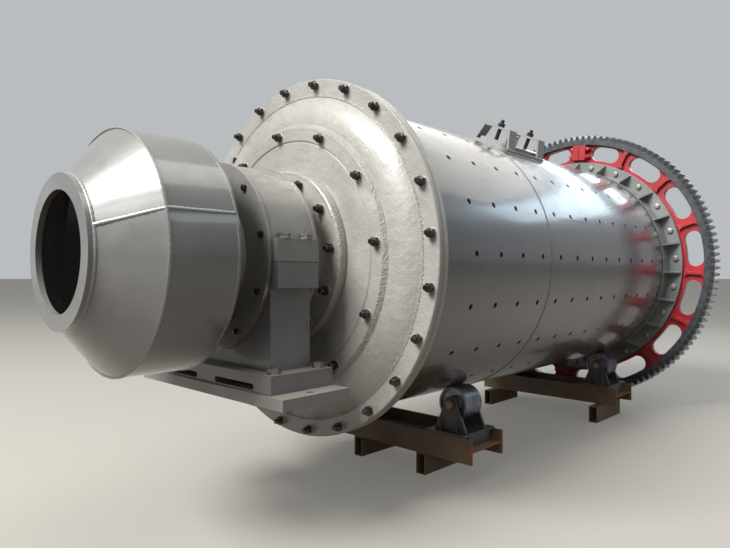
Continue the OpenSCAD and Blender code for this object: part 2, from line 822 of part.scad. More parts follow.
// Bracket: a plate on the beam's flanges with a channel under it, two cheeks and their ribs
module bracket(s, side) {
    rib_w = 10;
    rib_out = 24;
    color(dark_steel) at_stand(s) translate([0, side * roller_y, 0]) {
        translate([-beam_w / 2 + 4, -bracket_len / 2, beam_top])
            cube([beam_w - 8, bracket_len, bracket_plate]);
        for (end = [-1, 1])
            translate([-cheek_out, end * (bracket_len - bracket_plate) / 2 - bracket_plate / 2, web_top])
                cube([2 * cheek_out, bracket_plate, beam_top - web_top + 1]);
        difference() {
            for (end = [-1, 1])
                translate([end * (cheek_x + cheek_t / 2), 0, plate_top]) rotate([90, 0, 90])
                    linear_extrude(cheek_t, center = true) cheek_outline();
            translate([0, 0, roller_z]) rotate([0, 90, 0])
                cylinder(r = axle_r, h = 2 * cheek_out + 2, center = true, $fn = small_fn);
        }
        for (end = [-1, 1]) for (y = [-cheek_rib_y, cheek_rib_y])
            translate([end * cheek_out, y + rib_w / 2, plate_top]) rotate([90, 0, 0])
                linear_extrude(rib_w)
                    polygon([[-end, -1], [end * rib_out, -1], [end * rib_out, 12], [0, cheek_rib_h],
                        [-end, cheek_rib_h]]);
    }
}

module axle(s, side) {
    half = cheek_out + 16;
    color(dark_steel) at_stand(s) translate([0, side * roller_y, roller_z]) rotate([0, 90, 0])
        cylinder(r = axle_r, h = 2 * half, center = true, $fn = small_fn);
}

module roller(s, side) {
    w = roller_w / 2;
    rim = 14;
    hub = axle_r + 18;
    color(dark_steel) at_stand(s) translate([0, side * roller_y, roller_z]) rotate([0, 90, 0])
        rotate_extrude($fn = big_fn) polygon([
            [axle_r + 0.1, -w], [hub, -w], [hub, -w + 12], [roller_r - rim, -w + 12],
            [roller_r - rim, -w], [roller_r - 3, -w], [roller_r, -w + 3], [roller_r, w - 3],
            [roller_r - 3, w], [roller_r - rim, w], [roller_r - rim, w - 12], [hub, w - 12],
            [hub, w], [axle_r + 0.1, w]]);
}

feeder_mouth_ring();
feeder_cone();
feeder_drum();
feeder_back();
feed_trunnion();
feed_head();
shell_front_flange();
shell_front_course();
shell_rear_course();
shell_rear_flange();
manhole_frame();
manhole_cover();
manhole_bridges();
ring_gear_near_half();
ring_gear_far_half();
discharge_head();
discharge_trunnion();
discharge_outlet();
feed_pedestal();
feed_bearing_cap();
feed_outer_cover();
feed_inner_cover();
feed_sole_plate();
discharge_pedestal();
discharge_bearing_cap();
discharge_outer_cover();
discharge_inner_cover();
discharge_sole_plate();
beam(front_stand_s);  // front_beam
beam(rear_stand_s);  // rear_beam
blocks(front_stand_s, front_block_spacing, 0);  // front_blocks
blocks(rear_stand_s, rear_block_spacing, rear_block_reach);  // rear_blocks
bracket(front_stand_s, -1);  // front_near_bracket
bracket(front_stand_s, 1);  // front_far_bracket
bracket(rear_stand_s, -1);  // rear_near_bracket
bracket(rear_stand_s, 1);  // rear_far_bracket
axle(front_stand_s, -1);  // front_near_axle
axle(front_stand_s, 1);  // front_far_axle
axle(rear_stand_s, -1);  // rear_near_axle
axle(rear_stand_s, 1);  // rear_far_axle
roller(front_stand_s, -1);  // front_near_roller
roller(front_stand_s, 1);  // front_far_roller
roller(rear_stand_s, -1);  // rear_near_roller
roller(rear_stand_s, 1);  // rear_far_roller
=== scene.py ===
"""The looks of the ball mill on its roller stands: finishes, bolts, weld beads, light and camera."""
import math

import bpy
import numpy as np
from mathutils import Matrix, Vector


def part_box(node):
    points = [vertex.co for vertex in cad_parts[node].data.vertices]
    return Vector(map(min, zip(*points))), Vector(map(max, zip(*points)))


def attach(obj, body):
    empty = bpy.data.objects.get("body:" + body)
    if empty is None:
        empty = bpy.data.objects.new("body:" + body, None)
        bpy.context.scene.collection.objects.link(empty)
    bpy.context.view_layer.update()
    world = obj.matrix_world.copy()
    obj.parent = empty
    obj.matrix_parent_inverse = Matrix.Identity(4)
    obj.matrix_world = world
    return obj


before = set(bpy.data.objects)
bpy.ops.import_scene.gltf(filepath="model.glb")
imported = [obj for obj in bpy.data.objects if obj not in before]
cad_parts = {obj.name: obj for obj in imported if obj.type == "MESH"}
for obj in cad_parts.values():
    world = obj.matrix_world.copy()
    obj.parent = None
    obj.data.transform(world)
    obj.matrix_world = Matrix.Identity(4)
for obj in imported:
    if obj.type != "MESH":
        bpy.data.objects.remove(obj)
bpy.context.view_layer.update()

# Driving sizes: lengths in metres, angles in degrees from the +Y side, and counts. Stations run along the
# mill axis from the feed head's flange face.
HEAD_FLANGE = 0.030
FRONT_FLANGE = 0.030
REAR_FLANGE = 0.034
SHELL_R = 0.766
FACE_H = 0.068
TRUNNION_FLANGE = 0.044
BEARING_AT = 0.351
HOUSING_W = 0.222
COVER_T = 0.014
FLANGE_BOLTS = 24
FLANGE_BOLT_R = 0.818
FLANGE_BOLT_FROM = 9.1
FACE_BOLTS = 12
FACE_BOLT_R = 0.583
FACE_BOLT_FROM = 24.5
TRUNNION_BOLT_R = 0.358
TRUNNION_BOLT_FROM = 24.4
COVER_SCREWS = 10
COVER_BOLT_R = 0.360
COVER_SCREW_FROM = 23.6
RIM_DEPTH = 0.078
GUSSET_FROM = 4.5
GUSSET_T = 0.012
GUSSET_H = 0.074
BAND_T = 0.007
BAND_LEN = 0.130
CAP_LUG_H = 0.090
LUG_Y = 0.401
LUG_BOLT_X = 0.055
LUG_INSET = 0.008
FOOT_DROP = 0.457
FOOT_BOLT_Y = 0.413
FOOT_BOLT_X = 0.112
JOINT_LINE_HALF = 0.0012
JOINT_LINE_PROUD = 0.0006
MANHOLE_AT = 1.415
MANHOLE_ANGLE = 115.0
MANHOLE_LEN = 0.490
MANHOLE_W = 0.276
MANHOLE_T = 0.018
MANHOLE_CORNER = 0.050
MANHOLE_STUD_R = 0.012
BRIDGE_H = 0.094
BRIDGE_GAP = 0.344
GEAR_JOINT_ANGLE = 94.2
GEAR_LUG_HALF = 0.055
GEAR_LUG_H = 0.050
GEAR_BOLT_RADII = (0.912, 0.976)
BULGE_FOOT = 0.770
BEAD_STEP = 0.008
GUSSET_BEAD = 0.004
FLOOR_REACH = 150.0
NO_SAWN_END = 9.0  # farther out than any piece, so that no sawn end is drawn

# Sockets of Blender's colour mix
MIX_UNDER, MIX_OVER, MIX_RESULT = 6, 7, 2

shell_low, shell_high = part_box("shell_front_course")
STATION_ZERO = shell_low.x - HEAD_FLANGE
AXIS_Z = (shell_low.z + shell_high.z) / 2
COURSE_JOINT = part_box("shell_rear_course")[0].x - STATION_ZERO
SHELL_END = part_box("shell_rear_course")[1].x - STATION_ZERO
FAR_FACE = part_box("discharge_head")[1].x - STATION_ZERO - FACE_H
TIP_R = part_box("ring_gear_near_half")[1].z - AXIS_Z


def place(angle, station, radius):
    """A point at an angle in degrees from the +Y side, round the mill axis."""
    a = math.radians(angle)
    return Vector((STATION_ZERO + station, radius * math.cos(a), AXIS_Z + radius * math.sin(a)))


def outward(angle):
    a = math.radians(angle)
    return Vector((0, math.cos(a), math.sin(a)))


# Meshes

def solid(name, verts, faces, material, body, slot, smooth_angle=35):
    mesh = bpy.data.meshes.new(name)
    mesh.from_pydata([tuple(v) for v in verts], [], [tuple(f) for f in faces])
    mesh.update()
    mesh.materials.append(material)
    obj = bpy.data.objects.new(name, mesh)
    bpy.context.scene.collection.objects.link(obj)
    mesh.shade_smooth()
    mesh.set_sharp_from_angle(angle=math.radians(smooth_angle))
    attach(obj, body)
    return obj


def stack(loops):
    """Joins loops of the same count into a closed skin with both ends capped."""
    n = len(loops[0])
    verts = [p for loop in loops for p in loop]
    faces = [list(range(n))[::-1]]
    for k in range(len(loops) - 1):
        for i in range(n):
            j = (i + 1) % n
            faces.append((k * n + i, k * n + j, (k + 1) * n + j, (k + 1) * n + i))
    faces.append([(len(loops) - 1) * n + i for i in range(n)])
    return verts, faces


def circle(radius, z, count):
    return [(radius * math.cos(2 * math.pi * i / count), radius * math.sin(2 * math.pi * i / count), z)
            for i in range(count)]


def hexagon(flats, z0, height):
    """A chamfered hexagon, seated at z0: its corners are cut by a shallow cone, as on a real nut."""
    count = 24
    crown = flats * 0.475
    low, high = [], []
    for i in range(count):
        a = 2 * math.pi * i / count
        r = flats / 2 / math.cos((a + math.pi / 6) % (math.pi / 3) - math.pi / 6)
        drop = max(r - crown, 0) * math.tan(math.radians(30))
        low.append((r * math.cos(a), r * math.sin(a), z0))
        high.append((r * math.cos(a), r * math.sin(a), z0 + height - drop))
    return stack([low, high, circle(crown, z0 + height, count)])


def washer(diameter, thickness):
    return stack([circle(diameter / 2, 0, 24), circle(diameter / 2, thickness * 0.8, 24),
                  circle(diameter / 2 - thickness * 0.2, thickness, 24)])


def threaded_end(diameter, z0, length):
    """A stud's end with its thread as ridges and a chamfered tip."""
    pitch = diameter / 8
    ridges = max(int(length / pitch), 1)
    loops = []
    for k in range(ridges):
        loops.append(circle(diameter * 0.44, z0 + k * pitch, 16))
        loops.append(circle(diameter * 0.5, z0 + (k + 0.5) * pitch, 16))
    loops.append(circle(diameter * 0.42, z0 + length, 16))
    return stack(loops)


def joined(parts):
    verts, faces = [], []
    for v, f in parts:
        start = len(verts)
        verts += v
        faces += [[i + start for i in face] for face in f]
    return verts, faces


def stud_and_nut(size, out):
    """Washer, nut and threaded end for a stud of one size."""
    seat = size * 0.15
    top = seat + size * 0.8
    return joined([washer(size * 1.85, seat), hexagon(size * 1.5, seat, size * 0.8),
                   threaded_end(size, top, out)])


def bolt_head(size):
    seat = size * 0.15
    return joined([washer(size * 1.85, seat), hexagon(size * 1.5, seat, size * 0.63)])


def aim(point, direction, spin=0.0):
    turn = Vector(direction).to_track_quat("Z", "Y").to_matrix().to_4x4()
    return Matrix.Translation(point) @ turn @ Matrix.Rotation(spin, 4, "Z")


WASHER_FACES = len(washer(1.0, 0.1)[1])


def array(name, template, matrices, material, body, slot, washers=None):
    """One mesh with a copy of the template at each matrix, its washers in their own material."""
    verts, faces = template
    base = np.array([(*v, 1.0) for v in verts])
    all_verts, all_faces = [], []
    for k, m in enumerate(matrices):
        all_verts += (base @ np.array(m).T)[:, :3].tolist()
        all_faces += [[i + k * len(verts) for i in f] for f in faces]
    piece = solid(name, all_verts, all_faces, material, body, slot)
    if washers:
        piece.data.materials.append(washers)
        on_washer = [int(i % len(faces) < WASHER_FACES) for i in range(len(piece.data.polygons))]
        piece.data.polygons.foreach_set("material_index", on_washer)
    return piece


def spin_of(k):
    """A repeatable odd turn for the nuts, which never line up."""
    return (k * 2.399) % math.pi


def bolt_ring(name, template, count, first, station, radius, facing, material, slot="axle", washers=None):
    """Bolts on a circle round the mill axis; they turn with the drum."""
    direction = Vector((facing, 0, 0))
    matrices = [aim(place(first + k * 360 / count, station, radius), direction, spin_of(k))
                for k in range(count)]
    return array(name, template, matrices, material, "drum", slot, washers)


def bead(path, closed, size, normals):
    """A weld bead along a path: a flat half-round strip with the ripples of its passes."""
    sides = 6
    n = len(path)
    verts, faces = [], []
    for i in range(n):
        before = path[(i - 1) % n] if closed or i else path[i]
        after = path[(i + 1) % n] if closed or i < n - 1 else path[i]
        along = (after - before).normalized()
        up = normals[i].normalized()
        side = along.cross(up).normalized()
        swell = 1 + 0.16 * math.sin(i * 2.1) + 0.08 * math.sin(i * 0.37)
        for k in range(sides):
            a = 2 * math.pi * k / sides
            verts.append(path[i] + side * (math.cos(a) * size * swell)
                         + up * (math.sin(a) * size * 0.55 * swell))
    last = n if closed else n - 1
    for i in range(last):
        for k in range(sides):
            j = (i + 1) % n
            m = (k + 1) % sides
            faces.append((i * sides + k, i * sides + m, j * sides + m, j * sides + k))
    if not closed:
        faces.append(list(range(sides)))
        faces.append([(n - 1) * sides + k for k in range(sides)][::-1])
    return verts, faces


def weld(name, beads, material, body, slot):
    verts, faces = joined(beads)
    return solid(name, verts, faces, material, body, slot, 60)


def straight_bead(start, end, size, normal):
    count = max(int((end - start).length / BEAD_STEP), 3)
    path = [start.lerp(end, i / count) for i in range(count + 1)]
    return bead(path, False, size, [normal] * (count + 1))


def ring_bead(name, station, radius, size, material, lean=0.0, body="drum", slot="shell"):
    """A bead round the mill axis. Lean tips its back towards +X or -X, for a corner."""
    count = int(2 * math.pi * radius / BEAD_STEP)
    path = [place(360 * i / count, station, radius) for i in range(count)]
    normals = [outward(360 * i / count) + Vector((lean, 0, 0)) for i in range(count)]
    return weld(name, [bead(path, True, size, normals)], material, body, slot)


# Materials

def srgb(r, g, b):
    linear = [(c / 255 / 12.92) if c <= 10 else ((c / 255 + 0.055) / 1.055) ** 2.4 for c in (r, g, b)]
    return (*linear, 1.0)


class Finish:
    """A material under construction: its nodes, its shader and the coordinates it is drawn in."""

    def __init__(self, name, roughness, metallic=0.0, coat=0.0, coat_roughness=0.1):
        self.material = bpy.data.materials.new(name)
        self.material.use_nodes = True
        self.nodes = self.material.node_tree.nodes
        self.links = self.material.node_tree.links
        self.shader = self.nodes["Principled BSDF"]
        self.shader.inputs["Roughness"].default_value = roughness
        self.shader.inputs["Metallic"].default_value = metallic
        self.shader.inputs["Coat Weight"].default_value = coat
        self.shader.inputs["Coat Roughness"].default_value = coat_roughness
        self.coords = self.nodes.new("ShaderNodeTexCoord").outputs["Object"]
        self.colour = None
        self.height = None

    def stretched(self, x, y, z):
        node = self.nodes.new("ShaderNodeMapping")
        node.inputs["Scale"].default_value = (x, y, z)
        self.links.new(self.coords, node.inputs["Vector"])
        return node.outputs["Vector"]

    def cloud(self, scale, low, high, detail=4.0, coords=None, rough=0.55):
        """A noise mask that rises from 0 at low to 1 at high."""
        texture = self.nodes.new("ShaderNodeTexNoise")
        texture.inputs["Scale"].default_value = scale
        texture.inputs["Detail"].default_value = detail
        texture.inputs["Roughness"].default_value = rough
        self.links.new(coords or self.coords, texture.inputs["Vector"])
        return self.ranged(texture.outputs["Fac"], low, high)

    def ranged(self, value, low, high, to_low=0.0, to_high=1.0):
        node = self.nodes.new("ShaderNodeMapRange")
        node.inputs["From Min"].default_value = low
        node.inputs["From Max"].default_value = high
        node.inputs["To Min"].default_value = to_low
        node.inputs["To Max"].default_value = to_high
        self.links.new(value, node.inputs["Value"])
        return node.outputs["Result"]

    def times(self, a, b):
        node = self.nodes.new("ShaderNodeMath")
        node.operation = "MULTIPLY"
        for socket, value in zip(node.inputs, (a, b)):
            if isinstance(value, float):
                socket.default_value = value
            else:
                self.links.new(value, socket)
        return node.outputs["Value"]

    def over(self, mask, colour, under=None):
        """Lays a colour over what is there, through a mask."""
        node = self.nodes.new("ShaderNodeMix")
        node.data_type = "RGBA"
        self.links.new(mask, node.inputs["Factor"])
        if self.colour is None:
            node.inputs[MIX_UNDER].default_value = under
        else:
            self.links.new(self.colour, node.inputs[MIX_UNDER])
        node.inputs[MIX_OVER].default_value = colour
        self.colour = node.outputs[MIX_RESULT]
        return self

    def facing(self, axis, low, high):
        """1 where the surface faces along an axis of the object."""
        geometry = self.nodes.new("ShaderNodeTexCoord").outputs["Normal"]
        split = self.nodes.new("ShaderNodeSeparateXYZ")
        self.links.new(geometry, split.inputs[0])
        return self.ranged(split.outputs[axis], low, high)

    def from_axis(self):
        """Distance from the mill axis, in metres."""
        shift = self.nodes.new("ShaderNodeVectorMath")
        shift.operation = "SUBTRACT"
        shift.inputs[1].default_value = (0.0, 0.0, AXIS_Z)
        self.links.new(self.coords, shift.inputs[0])
        flat = self.nodes.new("ShaderNodeVectorMath")
        flat.operation = "MULTIPLY"
        flat.inputs[1].default_value = (0.0, 1.0, 1.0)
        self.links.new(shift.outputs["Vector"], flat.inputs[0])
        length = self.nodes.new("ShaderNodeVectorMath")
        length.operation = "LENGTH"
        self.links.new(flat.outputs["Vector"], length.inputs[0])
        return length.outputs["Value"]

    def near(self, value, centre, width):
        """1 where a value is at the centre, falling to 0 a width away."""
        away = self.nodes.new("ShaderNodeMath")
        away.operation = "SUBTRACT"
        away.inputs[1].default_value = centre
        self.links.new(value, away.inputs[0])
        size = self.nodes.new("ShaderNodeMath")
        size.operation = "ABSOLUTE"
        self.links.new(away.outputs[0], size.inputs[0])
        return self.ranged(size.outputs[0], width, width * 0.4)

    def edges(self, radius):
        """1 along hard edges, where paint is thin and metal is rubbed; the colour laid there is partly a
        painted highlight along the edges.
        """
        bevel = self.nodes.new("ShaderNodeBevel")
        bevel.samples = 4
        bevel.inputs["Radius"].default_value = radius
        geometry = self.nodes.new("ShaderNodeNewGeometry")
        dot = self.nodes.new("ShaderNodeVectorMath")
        dot.operation = "DOT_PRODUCT"
        self.links.new(bevel.outputs["Normal"], dot.inputs[0])
        self.links.new(geometry.outputs["Normal"], dot.inputs[1])
        return self.ranged(dot.outputs["Value"], 0.99, 0.9)

    def rough_from(self, mask, low, high):
        self.links.new(self.ranged(mask, 0.0, 1.0, low, high), self.shader.inputs["Roughness"])
        return self

    def bump(self, mask, depth, strength=1.0):
        """Adds relief of a depth in metres on top of what is there."""
        node = self.nodes.new("ShaderNodeBump")
        node.inputs["Strength"].default_value = strength
        node.inputs["Distance"].default_value = depth
        self.links.new(mask, node.inputs["Height"])
        if self.height is not None:
            self.links.new(self.height, node.inputs["Normal"])
        self.height = node.outputs["Normal"]
        return self

    def rounded(self, radius):
        """Softens hard edges as paint and handling do."""
        node = self.nodes.new("ShaderNodeBevel")
        node.samples = 4
        node.inputs["Radius"].default_value = radius
        self.height = node.outputs["Normal"]
        return self

    def done(self):
        if self.colour is not None:
            self.links.new(self.colour, self.shader.inputs["Base Color"])
        if self.height is not None:
            self.links.new(self.height, self.shader.inputs["Normal"])
        return self.material


def gloss_paint(name, colour, dark, light, roughness=0.3, coat=0.6, edge=0.0025, dust=0.25):
    """Sprayed enamel: clouds of slightly different grey, orange peel, dust on what faces up, and painted
    shade on what faces down.
    """
    f = Finish(name, roughness, coat=coat, coat_roughness=0.09).rounded(edge)
    f.over(f.cloud(1.7, 0.35, 0.7, 5.0), dark, colour)
    f.over(f.times(f.cloud(5.0, 0.48, 0.75, 6.0), 0.5), light)
    f.over(f.times(f.facing("Z", 0.3, 1.0), dust), DUST)
    # Painted shade: surfaces facing down are darkened towards warm brown, standing in for the shade and the
    # brown floor's light underneath.
    f.over(f.times(f.facing("Z", -0.1, -0.7), 0.5), srgb(92, 80, 70))
    f.over(f.times(f.cloud(60.0, 0.66, 0.74, 3.0), 0.7), dark)
    f.rough_from(f.cloud(9.0, 0.3, 0.75), roughness * 0.8, roughness * 1.35)
    f.bump(f.cloud(220.0, 0.2, 0.8, 2.0), 0.0002)
    f.bump(f.cloud(5.0, 0.2, 0.8, 3.0), 0.0008)
    return f.done()


def shell_paint():
    """Glossy grey enamel on rolled plate, with faint rolling marks and scuffs along the shell, and a painted
    reflection of the brown floor on its lower half.
    """
    f = Finish("shell_enamel", 0.3, coat=0.7, coat_roughness=0.12).rounded(0.002)
    f.over(f.cloud(0.9, 0.35, 0.7, 5.0), srgb(88, 92, 96), srgb(98, 102, 106))
    f.over(f.times(f.cloud(3.2, 0.45, 0.8, 6.0), 0.4), srgb(122, 120, 116))
    f.over(f.times(f.facing("Z", 0.4, 1.0), 0.2), srgb(150, 147, 140))
    # Painted reflection: the lower half of the shell is tinted warm brown, standing in for the brown floor
    # mirrored in its gloss.
    f.over(f.times(f.facing("Z", 0.05, -0.5), 0.7), srgb(118, 99, 84))
    streaks = f.cloud(2.4, 0.55, 0.75, 8.0, f.stretched(1.0, 14.0, 14.0))
    f.over(f.times(streaks, 0.15), srgb(150, 148, 142))
    specks = f.cloud(46.0, 0.7, 0.74, 2.0)
    f.over(f.times(specks, 0.5), srgb(70, 68, 66))
    f.rough_from(f.cloud(6.0, 0.3, 0.75, 5.0), 0.17, 0.3)
    f.bump(f.cloud(210.0, 0.25, 0.75, 3.0), 0.00035)
    f.bump(f.cloud(2.2, 0.2, 0.8, 2.0), 0.0012)
    return f.done()


def cast_paint(name, colour, dark, light, rims):
    """Satin paint on a grey casting: leathery sand grain, blobs of filler along its rims' radii, and painted
    shade on what faces down.
    """
    f = Finish(name, 0.34, coat=0.6, coat_roughness=0.2).rounded(0.006)
    f.over(f.cloud(2.2, 0.4, 0.72, 6.0), dark, colour)
    f.over(f.times(f.cloud(7.0, 0.5, 0.8, 6.0), 0.6), light)
    f.over(f.times(f.cloud(26.0, 0.62, 0.72, 5.0), 0.35), srgb(158, 151, 138))
    # Painted shade: surfaces facing down are darkened towards warm brown, standing in for the shade
    # underneath.
    f.over(f.times(f.facing("Z", -0.1, -0.9), 0.3), srgb(122, 106, 90))
    f.rough_from(f.cloud(12.0, 0.3, 0.7), 0.26, 0.44)
    f.bump(f.cloud(190.0, 0.25, 0.75, 4.0), 0.0011)
    f.bump(f.cloud(26.0, 0.25, 0.75, 4.0), 0.0022)
    radius = f.from_axis()
    for centre, width in rims:
        blobs = f.times(f.near(radius, centre, width), f.cloud(110.0, 0.42, 0.64, 3.0))
        f.bump(blobs, 0.0025)
    return f.done()


def gear_finish():
    """Red enamel on the web and dark machined steel on the rim and teeth, with painted shade on the teeth and
    a painted highlight along their tips.
    """
    f = Finish("gear_red_and_steel", 0.33, coat=0.3).rounded(0.003)
    f.over(f.cloud(2.6, 0.35, 0.7, 5.0), srgb(140, 22, 32), srgb(178, 34, 44))
    f.over(f.times(f.cloud(9.0, 0.5, 0.8, 6.0), 0.4), srgb(206, 66, 72))
    f.over(f.times(f.cloud(40.0, 0.63, 0.7, 4.0), 0.6), srgb(98, 30, 30))
    radius = f.from_axis()
    rim_r = TIP_R - RIM_DEPTH
    rim = f.ranged(radius, rim_r + 0.001, rim_r + 0.003)
    f.over(rim, srgb(66, 70, 76))
    f.over(f.times(rim, f.cloud(24.0, 0.42, 0.7, 6.0)), srgb(38, 39, 42))
    # Painted shade: the teeth are darker than the rim's own dark steel, standing in for the shade on the
    # tooth flanks.
    f.over(f.ranged(radius, TIP_R - 0.036, TIP_R - 0.030), srgb(34, 37, 41))
    # Painted highlight: the thin band at the tooth tips is lighter, standing in for the light on the tooth
    # lands.
    f.over(f.times(f.ranged(radius, TIP_R - 0.004, TIP_R - 0.002), 0.8), srgb(120, 124, 130))
    f.bump(f.cloud(150.0, 0.25, 0.75, 4.0), 0.0006)
    return f.done()


def rusty_beam(name, end_y):
    """Hot-rolled section: brown scale with orange bloom, and fresh orange rust on the sawn ends."""
    f = Finish(name, 0.75).rounded(0.003)
    f.over(f.cloud(4.0, 0.35, 0.7, 6.0), srgb(104, 87, 70), srgb(136, 116, 94))
    f.over(f.times(f.cloud(11.0, 0.55, 0.72, 7.0), 0.7), srgb(138, 98, 66))
    f.over(f.times(f.facing("Z", 0.4, 1.0), 0.4), srgb(112, 100, 88))
    split = f.nodes.new("ShaderNodeSeparateXYZ")
    f.links.new(f.coords, split.inputs[0])
    absolute = f.nodes.new("ShaderNodeMath")
    absolute.operation = "ABSOLUTE"
    f.links.new(split.outputs["Y"], absolute.inputs[0])
    f.over(f.ranged(absolute.outputs[0], end_y - 0.006, end_y - 0.002), srgb(150, 92, 54))
    f.bump(f.cloud(120.0, 0.3, 0.7, 6.0), 0.0012)
    f.bump(f.cloud(14.0, 0.3, 0.7, 4.0), 0.002)
    return f.done()


def roller_steel():
    """Roller tread rubbed blue and bright by the drum, with brown stains over it."""
    f = Finish("roller_steel", 0.34, metallic=0.7).rounded(0.0015)
    f.over(f.cloud(9.0, 0.35, 0.7, 6.0), srgb(96, 104, 116), srgb(134, 140, 152))
    f.over(f.times(f.cloud(16.0, 0.45, 0.65, 6.0), 0.75), srgb(104, 80, 66))
    f.over(f.times(f.cloud(60.0, 0.58, 0.75, 5.0), 0.5), srgb(164, 160, 158))
    f.rough_from(f.cloud(30.0, 0.3, 0.75), 0.26, 0.5)
    f.bump(f.cloud(260.0, 0.25, 0.75, 4.0), 0.0003)
    return f.done()


def worn_steel(name, colour, dark, light, roughness, metallic, edge=None):
    f = Finish(name, roughness, metallic=metallic).rounded(0.0015)
    f.over(f.cloud(14.0, 0.35, 0.7, 6.0), dark, colour)
    if edge:
        # Lighter edges: rubbed metal where the paint is thin, and partly a painted highlight along the edges
        # of the dark cheeks.
        f.over(f.times(f.edges(0.004), 0.8), edge)
    f.over(f.times(f.cloud(60.0, 0.55, 0.75, 5.0), 0.5), light)
    f.rough_from(f.cloud(30.0, 0.3, 0.75), roughness * 0.7, roughness * 1.4)
    f.bump(f.cloud(260.0, 0.25, 0.75, 4.0), 0.0003)
    return f.done()


DUST = srgb(176, 168, 154)
ENAMEL = (srgb(118, 118, 116), srgb(104, 104, 102), srgb(136, 136, 132))

CAST = cast_paint("head_paint", srgb(160, 158, 152), srgb(143, 141, 135), srgb(178, 176, 170),
                  ((0.770, 0.010), (0.619, 0.014)))
TRUNNION = cast_paint("trunnion_paint", srgb(170, 167, 160), srgb(150, 147, 140), srgb(190, 188, 181),
                      ((0.402, 0.014),))
FLANGE = cast_paint("flange_paint", srgb(166, 163, 154), srgb(132, 130, 123), srgb(188, 185, 176), ())
FEEDER = gloss_paint("feeder_enamel", *ENAMEL)
BEARING = gloss_paint("bearing_enamel", srgb(128, 127, 123), srgb(114, 113, 110), srgb(146, 145, 140),
                      dust=0.5)
SOLE = gloss_paint("sole_enamel", srgb(134, 132, 129), srgb(118, 116, 114), srgb(152, 150, 146), 0.42,
                   0.3, dust=0.7)
# Painted shade: the pedestal wears the same grey as the bearing, made darker here to stand in for the shade
# on its sides.
PEDESTAL = gloss_paint("pedestal_enamel", srgb(112, 111, 111), srgb(99, 98, 98), srgb(130, 128, 126), 0.4,
                       0.35, dust=0.7)
REAR_FLANGE_PAINT = gloss_paint("rear_flange_enamel", srgb(126, 130, 129), srgb(110, 114, 113),
                                srgb(142, 146, 144), 0.34, 0.4)
MANHOLE = gloss_paint("manhole_enamel", srgb(150, 150, 148), srgb(132, 132, 130), srgb(158, 156, 150),
                      0.26, 0.8)
SHELL = shell_paint()
GEAR = gear_finish()
BEAM = rusty_beam("beam_rust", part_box("front_beam")[1].y)
BLOCK = rusty_beam("block_rust", NO_SAWN_END)
BRACKET = worn_steel("bracket_black", srgb(74, 71, 68), srgb(56, 54, 52), srgb(108, 104, 98), 0.42, 0.0,
                     srgb(172, 168, 160))
AXLE = worn_steel("axle_steel", srgb(118, 100, 88), srgb(92, 76, 66), srgb(170, 150, 136), 0.45, 0.4)
ROLLER = roller_steel()
DARK_BOLT = worn_steel("dark_bolt", srgb(66, 63, 61), srgb(42, 40, 40), srgb(124, 120, 114), 0.26, 0.7)
WASHER = worn_steel("washer_zinc", srgb(178, 176, 168), srgb(146, 144, 137), srgb(204, 202, 196), 0.34, 0.35)
AXLE_CENTRE = worn_steel("axle_centre", srgb(158, 132, 96), srgb(120, 96, 70), srgb(190, 170, 130), 0.45,
                         0.3)
GREY_BOLT = worn_steel("grey_bolt", srgb(150, 148, 140), srgb(122, 120, 113), srgb(176, 174, 166), 0.38, 0.3)
ZINC_BOLT = worn_steel("zinc_bolt", srgb(126, 122, 114), srgb(100, 97, 90), srgb(164, 160, 150), 0.3, 0.6)
RED_BOLT = worn_steel("red_bolt", srgb(206, 58, 66), srgb(160, 36, 42), srgb(226, 104, 104), 0.4, 0.0)
WELD = gloss_paint("weld_enamel", srgb(146, 146, 142), srgb(126, 126, 122), srgb(170, 170, 164), 0.24,
                   0.7, 0.001)
SHELL_WELD = gloss_paint("shell_weld_enamel", srgb(128, 128, 126), srgb(108, 108, 106), srgb(150, 150, 146),
                         0.3, 0.5, 0.001)

FINISHES = {
    "feeder_mouth_ring": FEEDER, "feeder_cone": FEEDER, "feeder_drum": FEEDER, "feeder_back": FEEDER,
    "feed_trunnion": TRUNNION, "discharge_trunnion": TRUNNION, "feed_head": CAST, "discharge_head": CAST,
    "shell_front_flange": FLANGE, "shell_front_course": SHELL, "shell_rear_course": SHELL,
    "shell_rear_flange": REAR_FLANGE_PAINT, "manhole_frame": MANHOLE, "manhole_cover": MANHOLE,
    "manhole_bridges": MANHOLE, "ring_gear_near_half": GEAR, "ring_gear_far_half": GEAR,
    "discharge_outlet": FEEDER, "front_beam": BEAM, "rear_beam": BEAM, "front_blocks": BLOCK,
    "rear_blocks": BLOCK,
}
for end in ("feed", "discharge"):
    FINISHES[f"{end}_pedestal"] = PEDESTAL
    FINISHES[f"{end}_sole_plate"] = SOLE
    for piece in ("bearing_cap", "outer_cover", "inner_cover"):
        FINISHES[f"{end}_{piece}"] = BEARING
for stand in ("front", "rear"):
    for side in ("near", "far"):
        FINISHES[f"{stand}_{side}_bracket"] = BRACKET
        FINISHES[f"{stand}_{side}_axle"] = AXLE
        FINISHES[f"{stand}_{side}_roller"] = ROLLER

for node, finish in FINISHES.items():
    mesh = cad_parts[node].data
    mesh.materials.clear()
    mesh.materials.append(finish)

# Bolts on the feed end

M24 = stud_and_nut(0.024, 0.019)
M24_HEAD = bolt_head(0.024)
M30_HEAD = bolt_head(0.030)
M16_HEAD = bolt_head(0.016)

